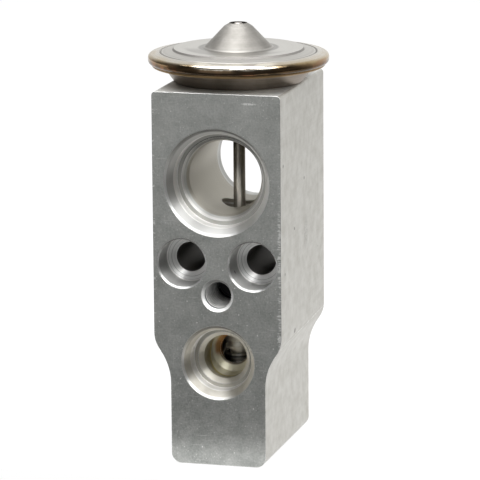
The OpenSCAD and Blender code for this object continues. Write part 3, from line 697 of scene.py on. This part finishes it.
def spring_half(name, keep_above):
    """Half of the superheat spring, cut across at its middle height."""
    low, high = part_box("superheat_spring")
    middle = (0.0, 0.0, (low.z + high.z) / 2)
    form = bmesh.new()
    form.from_mesh(nodes["superheat_spring"].data)
    everything = form.verts[:] + form.edges[:] + form.faces[:]
    bmesh.ops.bisect_plane(
        form, geom=everything, plane_co=middle, plane_no=(0, 0, 1),
        clear_inner=keep_above, clear_outer=not keep_above
    )
    bmesh.ops.holes_fill(form, edges=[e for e in form.edges if e.is_boundary])
    mesh = bpy.data.meshes.new(name)
    form.to_mesh(mesh)
    form.free()
    mesh.materials.append(spring_steel)
    half = bpy.data.objects.new(name, mesh)
    scene.collection.objects.link(half)
    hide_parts("superheat_spring")
    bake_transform(half)


spring_half("superheat_spring_lower", False)
spring_half("superheat_spring_upper", True)

ridge = thread_ridge()
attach(ridge, "housing")


def make_camera():
    """Camera at the photograph's view."""
    azimuth, elevation, roll = (math.radians(a) for a in (CAMERA_AZIMUTH, CAMERA_ELEVATION, CAMERA_ROLL))
    back = Vector((
        math.sin(azimuth) * math.cos(elevation), -math.cos(azimuth) * math.cos(elevation), math.sin(elevation)
    ))
    level = Vector((0, 0, 1)).cross(back).normalized()
    upright = back.cross(level)
    right = math.cos(roll) * level + math.sin(roll) * upright
    up = -math.sin(roll) * level + math.cos(roll) * upright
    place = back * CAMERA_DISTANCE - right * CAMERA_SHIFT_X - up * CAMERA_SHIFT_Y
    data = bpy.data.cameras.new("camera")
    data.sensor_width = SENSOR_MM
    data.lens = FOCAL_PIXELS / IMAGE_PIXELS * SENSOR_MM
    data.clip_start = 0.05
    data.clip_end = 20
    camera = bpy.data.objects.new("camera", data)
    turn = Matrix((right, up, back)).transposed().to_4x4()
    camera.matrix_world = Matrix.Translation(place * MM) @ turn
    scene.collection.objects.link(camera)
    scene.camera = camera


def make_floor():
    """Pale table top under the object, nearly white to the camera but for a soft shadow."""
    mesh = bpy.data.meshes.new("floor")
    corners = (
        (FLOOR_LEFT, FLOOR_FRONT, 0), (FLOOR_RIGHT, FLOOR_FRONT, 0),
        (FLOOR_RIGHT, FLOOR_BACK, 0), (FLOOR_LEFT, FLOOR_BACK, 0)
    )
    mesh.from_pydata(corners, [], [(0, 1, 2, 3)])
    floor = bpy.data.objects.new("floor", mesh)
    floor.location.z = -FLOOR_DROP
    scene.collection.objects.link(floor)
    material = bpy.data.materials.new("pale_floor")
    material.use_nodes = True
    tree = material.node_tree
    surface = tree.nodes["Principled BSDF"]
    surface.inputs["Base Color"].default_value = (0.88, 0.88, 0.87, 1)
    surface.inputs["Roughness"].default_value = 0.9
    surface.inputs["Specular IOR Level"].default_value = 0.1
    glow = tree.nodes.new("ShaderNodeEmission")
    path = tree.nodes.new("ShaderNodeLightPath")
    glow.inputs["Strength"].default_value = FLOOR_GLOW
    seen = tree.nodes.new("ShaderNodeMath")
    seen.operation = "MAXIMUM"
    share = tree.nodes.new("ShaderNodeMath")
    share.operation = "MULTIPLY"
    share.inputs[1].default_value = FLOOR_GLOW_SHARE
    mix = tree.nodes.new("ShaderNodeMixShader")
    tree.links.new(path.outputs["Is Camera Ray"], seen.inputs[0])
    tree.links.new(path.outputs["Is Glossy Ray"], seen.inputs[1])
    tree.links.new(seen.outputs[0], share.inputs[0])
    tree.links.new(share.outputs[0], mix.inputs[0])
    tree.links.new(surface.outputs[0], mix.inputs[1])
    tree.links.new(glow.outputs[0], mix.inputs[2])
    tree.links.new(mix.outputs[0], tree.nodes["Material Output"].inputs["Surface"])
    mesh.materials.append(material)


def make_world():
    """White to the camera. The light and the reflections get white behind and a dim room in front."""
    world = bpy.data.worlds.new("studio")
    scene.world = world
    world.use_nodes = True
    tree = world.node_tree
    tree.nodes.clear()
    add = tree.nodes.new
    link = tree.links.new
    out = add("ShaderNodeOutputWorld")
    mix = add("ShaderNodeMixShader")
    path = add("ShaderNodeLightPath")
    white = add("ShaderNodeBackground")
    white.inputs["Color"].default_value = (1, 1, 1, 1)
    room = add("ShaderNodeBackground")
    place = add("ShaderNodeTexCoord")
    toward = add("ShaderNodeVectorMath")
    toward.operation = "DOT_PRODUCT"
    toward.inputs[1].default_value = ROOM_WHITE_SIDE
    shift = add("ShaderNodeMapRange")
    shift.inputs["From Min"].default_value = -1
    shift.inputs["From Max"].default_value = 1
    ramp = add("ShaderNodeValToRGB")
    link(place.outputs["Generated"], toward.inputs[0])
    link(toward.outputs["Value"], shift.inputs["Value"])
    link(shift.outputs["Result"], ramp.inputs[0])
    fill_ramp(ramp, [(where, (level, level, level * ROOM_BLUE)) for where, level in ROOM_LIGHT])
    link(ramp.outputs[0], room.inputs["Color"])
    link(path.outputs["Is Camera Ray"], mix.inputs[0])
    link(room.outputs[0], mix.inputs[1])
    link(white.outputs[0], mix.inputs[2])
    link(mix.outputs[0], out.inputs["Surface"])


def softbox(name, place, width, height, watts):
    """Area light at a place in metres, turned to the middle of the part."""
    data = bpy.data.lights.new(name, "AREA")
    data.shape = "RECTANGLE"
    data.size = width
    data.size_y = height
    data.energy = watts
    lamp = bpy.data.objects.new(name, data)
    lamp.location = place
    lamp.rotation_mode = "QUATERNION"
    lamp.rotation_quaternion = (Vector(LAMP_TARGET) - Vector(place)).to_track_quat("-Z", "Y")
    scene.collection.objects.link(lamp)


make_camera()
make_floor()
make_world()
softbox("key", (0.40, -0.22, 0.50), 0.40, 0.40, 2.6)
softbox("overhead", (-0.10, -0.08, 0.65), 0.50, 0.56, 4.6)
softbox("port_light", (0.12, -0.52, 0.46), 0.16, 0.16, 0.7)
softbox("front_card", (-0.15, -0.62, 0.0), 0.5, 0.2, 0.19)
